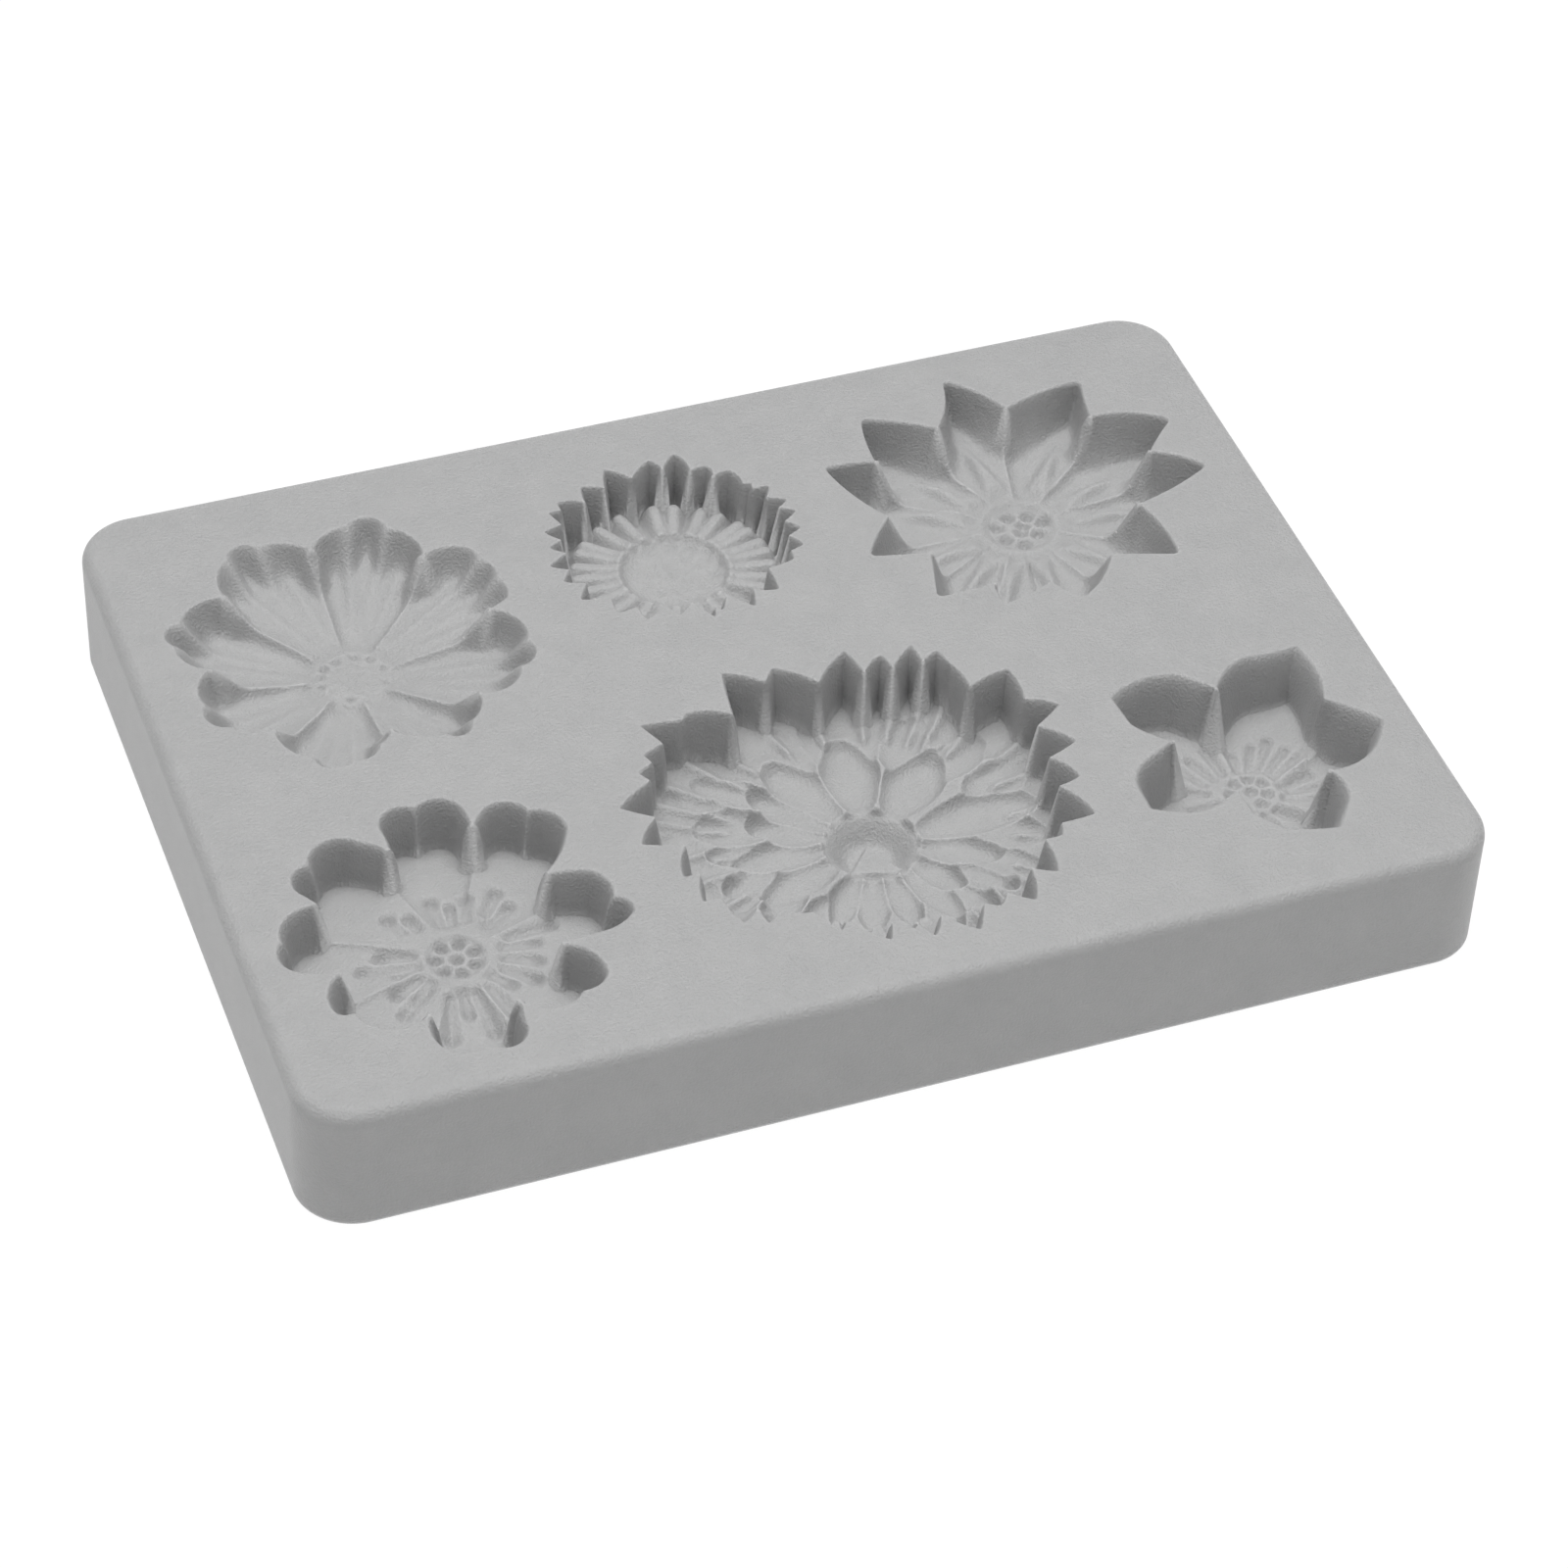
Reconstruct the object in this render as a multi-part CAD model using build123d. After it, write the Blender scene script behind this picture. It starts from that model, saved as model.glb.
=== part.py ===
from build123d import *
import math
import os

# Silicone mould: one cast slab with six flower cavities open at its top face.
# Origin: centre of the underside. +X runs along the long side, +Y away from the front, +Z up.

LENGTH = 110.0
WIDTH = 81.0
THICKNESS = 13.0
CORNER_RADIUS = 5.4
TOP_EDGE_RADIUS = 1.4

UPRIGHT = (Align.CENTER, Align.CENTER, Align.MIN)

# Rim outlines, counter-clockwise, in millimetres about each flower's MIDDLE.
# A row is (x, y, rise): the edge runs from here to the next row as an arc that rises by that much
# outward from its chord, or as a straight line where rise is 0.
# CENTRE is where the petals meet on the cavity floor, a little off the middle of the rim.

# Eight broad petals, each with three rounded scallops at its end.
COSMOS_MIDDLE = (-34.7, 17.0)
COSMOS_CENTRE = (-34.5, 16.8)
COSMOS_RIM = [
    (13.2, 0.1, 0.0), (15.5, 1.4, 0.35), (15.4, 4.1, 0.4), (14.7, 7.2, 0.5), (12.9, 9.5, 0.4),
    (9.5, 8.7, 1.1), (7.6, 13.9, 1.3), (4.4, 15.3, 0.6),
    (0.2, 12.8, 0.7), (-4.4, 14.9, 1.0), (-7.5, 14.1, 0.8),
    (-8.9, 8.9, 1.0), (-13.9, 6.7, 1.1), (-15.1, 4.0, 0.85),
    (-12.6, 0.0, 0.9), (-14.5, -4.6, 1.0), (-13.2, -7.9, 0.5),
    (-9.4, -9.4, 0.8), (-7.2, -14.0, 1.1), (-4.1, -15.5, 0.6), (-1.2, -14.2, 0.2),
    (0.3, -12.4, 0.7), (4.9, -14.6, 1.0), (7.4, -13.8, 0.5),
    (9.2, -10.2, 1.3), (13.9, -8.0, 1.0), (15.5, -5.0, 1.2),
]

# A ring of short pointed ray petals, close together and uneven.
SUNFLOWER_MIDDLE = (-2.0, 21.6)
SUNFLOWER_CENTRE = (-1.6, 21.5)
SUNFLOWER_RIM = [
    (12.6, 0.2, 0.1), (11.1, 1.1, 0.1), (12.3, 2.0, 0.1), (10.5, 2.8, 0.1), (11.4, 4.4, 0.1),
    (9.8, 4.4, 0.0), (9.9, 5.3, 0.0), (9.1, 5.4, 0.3), (8.5, 7.7, 0.2), (6.7, 7.2, 0.2),
    (6.8, 8.9, 0.2), (4.9, 8.7, 0.35), (4.3, 11.6, 0.2), (2.5, 9.6, 0.2), (1.7, 11.4, 0.2),
    (-0.7, 9.3, 0.2), (-2.8, 11.4, 0.1), (-3.6, 8.7, 0.2), (-5.7, 9.6, 0.1), (-6.0, 7.3, 0.35),
    (-8.6, 8.0, 0.0), (-8.5, 6.8, 0.1), (-9.8, 6.9, 0.0), (-9.1, 4.9, 0.1), (-11.0, 4.4, 0.1),
    (-9.7, 2.8, 0.1), (-11.2, 2.1, 0.1), (-9.8, 0.9, 0.1), (-12.0, -0.4, 0.1),
    (-10.3, -1.4, 0.1), (-11.4, -2.9, 0.1), (-9.4, -3.7, 0.1), (-10.7, -5.8, 0.1),
    (-7.9, -6.1, 0.1), (-8.0, -8.6, 0.1), (-6.0, -8.2, 0.1), (-5.7, -10.3, 0.1),
    (-3.4, -8.6, 0.1), (-2.7, -10.7, 0.1), (-1.0, -9.1, 0.1), (0.4, -11.8, 0.1),
    (0.8, -10.3, 0.1), (1.4, -11.1, 0.1), (2.3, -9.2, 0.1), (4.4, -11.5, 0.1),
    (5.0, -9.1, 0.2), (7.3, -9.9, 0.1), (7.3, -6.8, 0.1), (10.1, -6.3, 0.1), (10.1, -5.1, 0.0),
    (11.6, -4.7, 0.2), (10.6, -3.0, 0.1), (12.2, -2.2, 0.1), (11.0, -0.9, 0.1),
]

# Eleven long pointed petals with one side rounder than the other.
LOTUS_MIDDLE = (32.6, 18.3)
LOTUS_CENTRE = (32.3, 18.3)
LOTUS_RIM = [
    (-1.5, 17.0, -0.5), (-4.7, 10.5, 0.2), (-11.1, 14.0, 0.3), (-11.9, 7.5, 0.2),
    (-16.9, 8.3, 0.5), (-13.5, 0.0, 0.2), (-17.1, -4.6, 0.0), (-11.6, -5.9, 0.0),
    (-13.2, -11.9, 0.0), (-7.5, -11.7, 0.1), (-7.8, -14.6, 0.2), (-2.5, -12.8, 0.2),
    (-0.6, -15.9, 0.5), (4.0, -11.0, 0.0), (10.0, -12.9, 0.5), (9.0, -5.2, 0.35),
    (17.4, -2.0, 0.4), (13.0, 1.3, -0.15), (16.8, 5.4, 0.8), (9.6, 7.7, -0.1),
    (10.7, 13.2, 0.4), (2.5, 11.3, 0.4),
]

# Eight petals with two rounded lobes each, like hearts.
HEART_MIDDLE = (-36.3, -21.0)
HEART_CENTRE = (-36.1, -21.0)
HEART_RIM = [
    (5.1, 10.9, 0.1), (5.1, 12.9, 1.5), (1.0, 14.9, 1.55), (-2.65, 12.7, -0.1),
    (-2.7, 10.3, 0.2), (-5.0, 12.4, 1.6), (-9.9, 10.9, 1.3), (-11.3, 7.3, 0.0),
    (-10.4, 5.8, 1.35), (-14.7, 2.4, 0.9), (-14.4, -1.4, 0.3),
    (-10.7, -2.6, 0.75), (-12.7, -6.6, 0.5), (-11.0, -7.6, 2.0),
    (-4.9, -9.6, 0.4), (-5.4, -13.0, 1.1), (-1.2, -14.8, 1.55), (2.5, -13.0, 0.15),
    (2.6, -10.2, 1.7), (8.3, -11.1, 0.5), (11.0, -9.6, 1.0),
    (8.0, -5.1, 0.0), (12.5, -4.8, 0.3), (15.5, -3.2, 0.5), (14.3, -1.1, 0.6),
    (13.4, 2.6, 0.2), (9.4, 3.4, 0.45), (13.0, 8.2, 1.0), (10.5, 11.5, 1.1), (6.6, 12.8, 0.1),
]

# Many pointed petals in layers; the outermost tips make the rim.
DAHLIA_MIDDLE = (3.0, -16.5)
DAHLIA_CENTRE = (4.1, -16.8)
DAHLIA_RIM = [
    (20.8, 0.5, 0.3), (18.1, 3.4, 0.1), (21.2, 5.5, 0.3), (18.4, 7.0, 0.3), (18.5, 11.4, 0.3),
    (14.3, 10.1, 0.3), (13.6, 13.9, 0.1), (13.2, 15.7, 0.2), (11.4, 14.5, 0.1),
    (11.2, 17.1, 0.2), (8.5, 14.6, 0.1), (8.1, 16.7, 0.3), (5.8, 14.8, 0.1), (5.1, 18.2, 0.3),
    (1.4, 14.9, 0.3), (-2.0, 18.0, 0.1), (-3.2, 16.4, 0.3), (-6.65, 18.8, 0.1),
    (-7.5, 13.2, 0.5), (-11.4, 14.6, 0.1), (-12.0, 13.9, 0.1), (-16.0, 14.4, 0.0),
    (-14.7, 11.5, 0.1), (-16.9, 10.6, 0.0), (-16.4, 9.4, 0.1), (-18.1, 8.5, 0.0),
    (-17.3, 7.3, 0.2), (-21.1, 4.8, 0.1), (-18.3, 2.7, 0.3), (-20.7, -0.2, 0.1),
    (-16.9, -1.4, 0.4), (-18.5, -5.2, 0.0), (-16.9, -5.2, 0.2), (-17.9, -8.6, 0.0),
    (-16.2, -8.6, 0.2), (-15.4, -12.1, 0.1), (-13.5, -10.9, 0.1), (-13.3, -12.9, 0.1),
    (-12.1, -11.8, 0.2), (-9.1, -12.7, 0.2), (-7.6, -15.6, 0.1), (-6.9, -14.5, 0.2),
    (-3.9, -18.0, 0.1), (-3.2, -15.9, 0.2), (-1.4, -17.3, 0.1), (-1.1, -16.5, 0.1),
    (-0.1, -18.7, 0.2), (1.2, -16.4, 0.2), (3.9, -19.2, 0.1), (5.3, -16.2, 0.1),
    (6.7, -17.0, 0.1), (7.7, -15.6, 0.1), (9.8, -17.3, 0.3), (10.8, -13.4, 0.1),
    (13.0, -14.6, 0.3), (13.3, -10.4, 0.1), (15.1, -10.4, 0.1), (15.5, -8.95, 0.1),
    (18.9, -8.8, 0.4), (17.0, -4.5, 0.1), (19.4, -3.9, 0.4), (17.6, -0.8, 0.1),
]

# Five broad petals, each drawn to one corner.
BLOSSOM_MIDDLE = (39.2, -21.5)
BLOSSOM_CENTRE = (39.6, -20.8)
BLOSSOM_RIM = [
    (12.3, -0.4, 0.3), (8.1, 3.7, 0.2), (9.3, 7.0, 0.2), (8.8, 11.2, -0.2), (4.2, 11.2, 0.9),
    (-0.5, 7.6, 0.3), (-3.4, 11.0, 0.85), (-10.2, 9.9, 0.0), (-9.9, 6.2, 0.35),
    (-6.7, 2.7, 0.15), (-10.4, 1.15, 0.65), (-12.4, -2.6, 0.0), (-12.45, -4.7, 0.1),
    (-9.9, -6.0, 0.35), (-6.6, -6.2, 0.0), (-4.0, -4.8, 0.0), (-3.9, -8.0, 0.2),
    (-1.6, -11.0, 0.1), (2.8, -12.1, 0.0), (5.0, -9.2, 0.7), (4.6, -4.9, 0.65),
    (9.8, -3.8, 0.25),
]


def rim_face(middle, rim):
    """Flat face inside one rim outline, on the top face of the slab."""
    points = [Vector(middle[0] + x, middle[1] + y, THICKNESS) for x, y, _ in rim]
    edges = []
    for index, start in enumerate(points):
        end = points[(index + 1) % len(points)]
        rise = rim[index][2]
        if rise == 0.0:
            edges.append(Edge.make_line(start, end))
            continue
        chord = end - start
        outward = Vector(chord.Y, -chord.X, 0).normalized()
        crown = (start + end) * 0.5 + outward * rise
        edges.append(Edge.make_three_point_arc(start, crown, end))
    return Face(Wire(edges))


def pocket(middle, rim, depth):
    """Straight-walled hollow of one rim outline, open at the top face."""
    return extrude(rim_face(middle, rim), amount=depth, dir=(0, 0, -1))


def at_depth(centre, depth):
    """Location on a flower's axis, that far below the top face."""
    return Pos(centre[0], centre[1], THICKNESS - depth)


def around(centre, angle, radius, depth):
    """Point at an angle and radius about a flower's axis, that far below the top face."""
    x = centre[0] + radius * math.cos(math.radians(angle))
    y = centre[1] + radius * math.sin(math.radians(angle))
    return Vector(x, y, THICKNESS - depth)


def even_angles(count, first=0.0):
    return [first + 360.0 * index / count for index in range(count)]


def boss(centre, radius, bottom, top):
    """Upright cylinder on a flower's axis, between two depths."""
    return at_depth(centre, bottom) * Cylinder(radius, bottom - top, align=UPRIGHT)


def ring_of_bars(centre, angles, inner, outer, inner_depth, outer_depth, radius):
    """Round-ended bars that slope outward, one for each angle."""
    bars = []
    for angle in angles:
        start = around(centre, angle, inner, inner_depth)
        end = around(centre, angle, outer, outer_depth)
        plane = Plane(origin=start, z_dir=end - start)
        bars.append(plane * Cylinder(radius, (end - start).length, align=UPRIGHT))
        bars.append(Pos(end.X, end.Y, end.Z) * Sphere(radius))
    return bars


def ring_of_ridges(centre, angles, inner, outer, floor_depth, height, half_width):
    """Sharp-crested ridges standing on a flat floor, one for each angle."""
    root = 0.5
    flank = half_width * (height + root) / height
    profile = Wire.make_polygon([(-flank, -root), (flank, -root), (0, height)], close=True)
    ridge = extrude(Face(profile), amount=outer - inner)
    ridges = []
    for angle in angles:
        direction = Vector(math.cos(math.radians(angle)), math.sin(math.radians(angle)), 0)
        leftward = Vector(-direction.Y, direction.X, 0)
        start = around(centre, angle, inner, floor_depth)
        ridges.append(Plane(origin=start, x_dir=leftward, z_dir=direction) * ridge)
    return ridges


def ring_of_pits(centre, count, ring_radius, depth, pit_radius):
    """Small round hollows about a flower's axis."""
    pits = []
    for angle in even_angles(count):
        place = around(centre, angle, ring_radius, depth)
        pits.append(Pos(place.X, place.Y, place.Z) * Sphere(pit_radius))
    return pits


def petal_star(centre, count, tip_radius, notch_radius, first, depth):
    """Pointed layer of petals, cut from the top face down to its own depth."""
    points = []
    for tip in even_angles(count, first):
        points.append(around(centre, tip, tip_radius, 0.0))
        points.append(around(centre, tip + 180.0 / count, notch_radius, 0.0))
    star = Face(Wire.make_polygon(points, close=True))
    return extrude(star, amount=depth, dir=(0, 0, -1))


def cosmos_cavity():
    depth = 5.0
    disc_depth = 4.4
    disc_radius = 3.3
    notch_angles = [0.6, 42.5, 89.0, 134.7, 180.0, 225.0, 271.4, 312.0]
    ribs = ring_of_ridges(COSMOS_CENTRE, notch_angles, inner=2.5, outer=13.4,
                          floor_depth=depth, height=0.7, half_width=0.8)
    disc = boss(COSMOS_CENTRE, disc_radius, depth, disc_depth)
    return pocket(COSMOS_MIDDLE, COSMOS_RIM, depth) - ribs - disc


def sunflower_cavity():
    depth = 5.0
    disc_depth = 4.4
    disc_radius = 4.7
    ridge_angles = even_angles(20, first=6.0)
    ridges = ring_of_ridges(SUNFLOWER_CENTRE, ridge_angles, inner=4.2, outer=8.2,
                            floor_depth=depth, height=0.55, half_width=0.5)
    disc = boss(SUNFLOWER_CENTRE, disc_radius, depth, disc_depth)
    return pocket(SUNFLOWER_MIDDLE, SUNFLOWER_RIM, depth) - ridges - disc


def lotus_cavity():
    depth = 5.2
    disc_depth = 4.4
    disc_radius = 3.5
    petal_angles = [95.0, 51.0, 18.0, -6.6, -52.0, -92.0, -118.0, -138.0, -165.0, 154.0, 128.6]
    ribs = ring_of_ridges(LOTUS_CENTRE, petal_angles, inner=2.0, outer=11.0,
                          floor_depth=depth, height=0.6, half_width=0.7)
    disc = boss(LOTUS_CENTRE, disc_radius, depth, disc_depth)
    pits = ring_of_pits(LOTUS_CENTRE, 8, ring_radius=2.1, depth=disc_depth, pit_radius=0.55)
    return pocket(LOTUS_MIDDLE, LOTUS_RIM, depth) - ribs - disc + pits


def heart_cavity():
    wall_depth = 6.0
    centre_depth = 4.4
    dome_reach = 13.0
    dome_rise = wall_depth - centre_depth
    dome_radius = (dome_reach ** 2 + dome_rise ** 2) / (2.0 * dome_rise)
    dome = at_depth(HEART_CENTRE, centre_depth + dome_radius) * Sphere(dome_radius)
    stamens = ring_of_bars(HEART_CENTRE, even_angles(18, first=5.0), inner=2.6, outer=6.6,
                           inner_depth=centre_depth + 0.1, outer_depth=centre_depth + 0.4,
                           radius=0.45)
    pits = ring_of_pits(HEART_CENTRE, 7, ring_radius=1.7, depth=centre_depth, pit_radius=0.7)
    return pocket(HEART_MIDDLE, HEART_RIM, wall_depth) - dome + stamens + pits


def dahlia_cavity():
    outer_depth = 6.6
    layer_step = 0.5
    inner_step = 0.9
    bud_depth = 8.2
    bud_radius = 4.1
    cavity = pocket(DAHLIA_MIDDLE, DAHLIA_RIM, outer_depth)
    middle_layer = petal_star(DAHLIA_CENTRE, 10, tip_radius=14.6, notch_radius=11.4,
                              first=30.0, depth=outer_depth + layer_step)
    inner_layer = petal_star(DAHLIA_CENTRE, 8, tip_radius=9.8, notch_radius=7.2,
                             first=39.0, depth=outer_depth + inner_step)
    bud = boss(DAHLIA_CENTRE, bud_radius, bud_depth, 0.0)
    return cavity + middle_layer + inner_layer + bud


def blossom_cavity():
    floor_depth = 7.2
    bowl_reach = 13.0
    bowl_rise = 2.6
    bowl_radius = (bowl_reach ** 2 + bowl_rise ** 2) / (2.0 * bowl_rise)
    hub_depth = 6.6
    hub_foot = floor_depth + 0.3
    hub_foot_radius = 3.4
    hub_top_radius = 1.4
    cavity = pocket(BLOSSOM_MIDDLE, BLOSSOM_RIM, floor_depth + 1.0)
    bowl = at_depth(BLOSSOM_CENTRE, floor_depth - bowl_radius) * Sphere(bowl_radius)
    hub = at_depth(BLOSSOM_CENTRE, hub_foot) * Cone(hub_foot_radius, hub_top_radius,
                                                    hub_foot - hub_depth, align=UPRIGHT)
    pits = ring_of_pits(BLOSSOM_CENTRE, 5, ring_radius=0.9, depth=hub_depth, pit_radius=0.4)
    return (cavity & bowl) - hub + pits


def slab():
    """Plain slab: rounded corners, soft top edge, sharp edge underneath."""
    outline = RectangleRounded(LENGTH, WIDTH, CORNER_RADIUS)
    body = extrude(outline, amount=THICKNESS)
    top_edges = body.faces().sort_by(Axis.Z)[-1].edges()
    return fillet(top_edges, TOP_EDGE_RADIUS)


def mould_body():
    body = slab()
    for cavity in (cosmos_cavity, sunflower_cavity, lotus_cavity,
                   heart_cavity, dahlia_cavity, blossom_cavity):
        body = body - cavity()
    return body


os.makedirs("parts", exist_ok=True)
export_step(mould_body(), "parts/mould_body.step")
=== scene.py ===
import math
from collections import namedtuple

import bpy
import numpy as np
from mathutils import Matrix, Vector
from mathutils.geometry import delaunay_2d_cdt


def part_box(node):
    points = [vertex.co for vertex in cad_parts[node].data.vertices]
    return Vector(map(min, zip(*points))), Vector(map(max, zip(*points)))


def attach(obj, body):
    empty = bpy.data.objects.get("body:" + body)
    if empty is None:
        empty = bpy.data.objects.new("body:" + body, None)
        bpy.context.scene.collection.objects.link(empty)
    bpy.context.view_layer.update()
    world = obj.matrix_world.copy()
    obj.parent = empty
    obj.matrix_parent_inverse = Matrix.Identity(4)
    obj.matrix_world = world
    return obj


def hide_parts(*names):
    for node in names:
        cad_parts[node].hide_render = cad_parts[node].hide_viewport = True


# Looks of the silicone flower mould. Lengths are in millimetres until the mesh is made in metres.
# The frame is the CAD model's: origin in the middle of the underside, +X along the long side,
# +Y away from the front, +Z up.

MM = 0.001

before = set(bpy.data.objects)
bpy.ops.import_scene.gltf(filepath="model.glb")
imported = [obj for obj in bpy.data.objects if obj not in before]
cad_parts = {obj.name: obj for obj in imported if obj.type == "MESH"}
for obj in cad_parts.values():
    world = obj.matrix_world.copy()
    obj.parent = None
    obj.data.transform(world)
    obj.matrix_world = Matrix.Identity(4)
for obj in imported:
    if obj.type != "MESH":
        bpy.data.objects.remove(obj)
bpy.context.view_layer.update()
low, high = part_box("mould_body")
LENGTH = (high[0] - low[0]) / MM
WIDTH = (high[1] - low[1]) / MM
THICKNESS = (high[2] - low[2]) / MM
CORNER_RADIUS = 5.4
TOP_EDGE_RADIUS = 1.4

# Rim outlines, counter-clockwise, in millimetres about each flower's own middle, as in the CAD.
# A row is (x, y, rise): the edge runs from here to the next row as an arc that rises by that much
# outward from its chord, or as a straight line where rise is 0.
# CENTRE is where the petals meet on the cavity floor, measured from the middle of the rim.

# Eight broad petals, each with three rounded scallops at its end.
COSMOS_MIDDLE = (-34.7, 17.0)
COSMOS_CENTRE = (0.2, -0.2)
COSMOS_RIM = [
    (13.2, 0.1, 0.0), (15.5, 1.4, 0.35), (15.4, 4.1, 0.4), (14.7, 7.2, 0.5), (12.9, 9.5, 0.4),
    (9.5, 8.7, 1.1), (7.6, 13.9, 1.3), (4.4, 15.3, 0.6),
    (0.2, 12.8, 0.7), (-4.4, 14.9, 1.0), (-7.5, 14.1, 0.8),
    (-8.9, 8.9, 1.0), (-13.9, 6.7, 1.1), (-15.1, 4.0, 0.85),
    (-12.6, 0.0, 0.9), (-14.5, -4.6, 1.0), (-13.2, -7.9, 0.5),
    (-9.4, -9.4, 0.8), (-7.2, -14.0, 1.1), (-4.1, -15.5, 0.6), (-1.2, -14.2, 0.2),
    (0.3, -12.4, 0.7), (4.9, -14.6, 1.0), (7.4, -13.8, 0.5),
    (9.2, -10.2, 1.3), (13.9, -8.0, 1.0), (15.5, -5.0, 1.2),
]

# A ring of short pointed ray petals, close together and uneven.
SUNFLOWER_MIDDLE = (-2.0, 21.6)
SUNFLOWER_CENTRE = (0.4, -0.1)
SUNFLOWER_RIM = [
    (12.6, 0.2, 0.1), (11.1, 1.1, 0.1), (12.3, 2.0, 0.1), (10.5, 2.8, 0.1), (11.4, 4.4, 0.1),
    (9.8, 4.4, 0.0), (9.9, 5.3, 0.0), (9.1, 5.4, 0.3), (8.5, 7.7, 0.2), (6.7, 7.2, 0.2),
    (6.8, 8.9, 0.2), (4.9, 8.7, 0.35), (4.3, 11.6, 0.2), (2.5, 9.6, 0.2), (1.7, 11.4, 0.2),
    (-0.7, 9.3, 0.2), (-2.8, 11.4, 0.1), (-3.6, 8.7, 0.2), (-5.7, 9.6, 0.1), (-6.0, 7.3, 0.35),
    (-8.6, 8.0, 0.0), (-8.5, 6.8, 0.1), (-9.8, 6.9, 0.0), (-9.1, 4.9, 0.1), (-11.0, 4.4, 0.1),
    (-9.7, 2.8, 0.1), (-11.2, 2.1, 0.1), (-9.8, 0.9, 0.1), (-12.0, -0.4, 0.1),
    (-10.3, -1.4, 0.1), (-11.4, -2.9, 0.1), (-9.4, -3.7, 0.1), (-10.7, -5.8, 0.1),
    (-7.9, -6.1, 0.1), (-8.0, -8.6, 0.1), (-6.0, -8.2, 0.1), (-5.7, -10.3, 0.1),
    (-3.4, -8.6, 0.1), (-2.7, -10.7, 0.1), (-1.0, -9.1, 0.1), (0.4, -11.8, 0.1),
    (0.8, -10.3, 0.1), (1.4, -11.1, 0.1), (2.3, -9.2, 0.1), (4.4, -11.5, 0.1),
    (5.0, -9.1, 0.2), (7.3, -9.9, 0.1), (7.3, -6.8, 0.1), (10.1, -6.3, 0.1), (10.1, -5.1, 0.0),
    (11.6, -4.7, 0.2), (10.6, -3.0, 0.1), (12.2, -2.2, 0.1), (11.0, -0.9, 0.1),
]

# Eleven long pointed petals with one side rounder than the other.
LOTUS_MIDDLE = (32.6, 18.3)
LOTUS_CENTRE = (-0.3, 0.0)
LOTUS_RIM = [
    (-1.5, 17.0, -0.5), (-4.7, 10.5, 0.2), (-11.1, 14.0, 0.3), (-11.9, 7.5, 0.2),
    (-16.9, 8.3, 0.5), (-13.5, 0.0, 0.2), (-17.1, -4.6, 0.0), (-11.6, -5.9, 0.0),
    (-13.2, -11.9, 0.0), (-7.5, -11.7, 0.1), (-7.8, -14.6, 0.2), (-2.5, -12.8, 0.2),
    (-0.6, -15.9, 0.5), (4.0, -11.0, 0.0), (10.0, -12.9, 0.5), (9.0, -5.2, 0.35),
    (17.4, -2.0, 0.4), (13.0, 1.3, -0.15), (16.8, 5.4, 0.8), (9.6, 7.7, -0.1),
    (10.7, 13.2, 0.4), (2.5, 11.3, 0.4),
]

# Eight petals with two rounded lobes each, like hearts.
HEART_MIDDLE = (-36.3, -21.0)
HEART_CENTRE = (0.2, 0.0)
HEART_RIM = [
    (5.1, 10.9, 0.1), (5.1, 12.9, 1.5), (1.0, 14.9, 1.55), (-2.65, 12.7, -0.1),
    (-2.7, 10.3, 0.2), (-5.0, 12.4, 1.6), (-9.9, 10.9, 1.3), (-11.3, 7.3, 0.0),
    (-10.4, 5.8, 1.35), (-14.7, 2.4, 0.9), (-14.4, -1.4, 0.3),
    (-10.7, -2.6, 0.75), (-12.7, -6.6, 0.5), (-11.0, -7.6, 2.0),
    (-4.9, -9.6, 0.4), (-5.4, -13.0, 1.1), (-1.2, -14.8, 1.55), (2.5, -13.0, 0.15),
    (2.6, -10.2, 1.7), (8.3, -11.1, 0.5), (11.0, -9.6, 1.0),
    (8.0, -5.1, 0.0), (12.5, -4.8, 0.3), (15.5, -3.2, 0.5), (14.3, -1.1, 0.6),
    (13.4, 2.6, 0.2), (9.4, 3.4, 0.45), (13.0, 8.2, 1.0), (10.5, 11.5, 1.1), (6.6, 12.8, 0.1),
]

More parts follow.
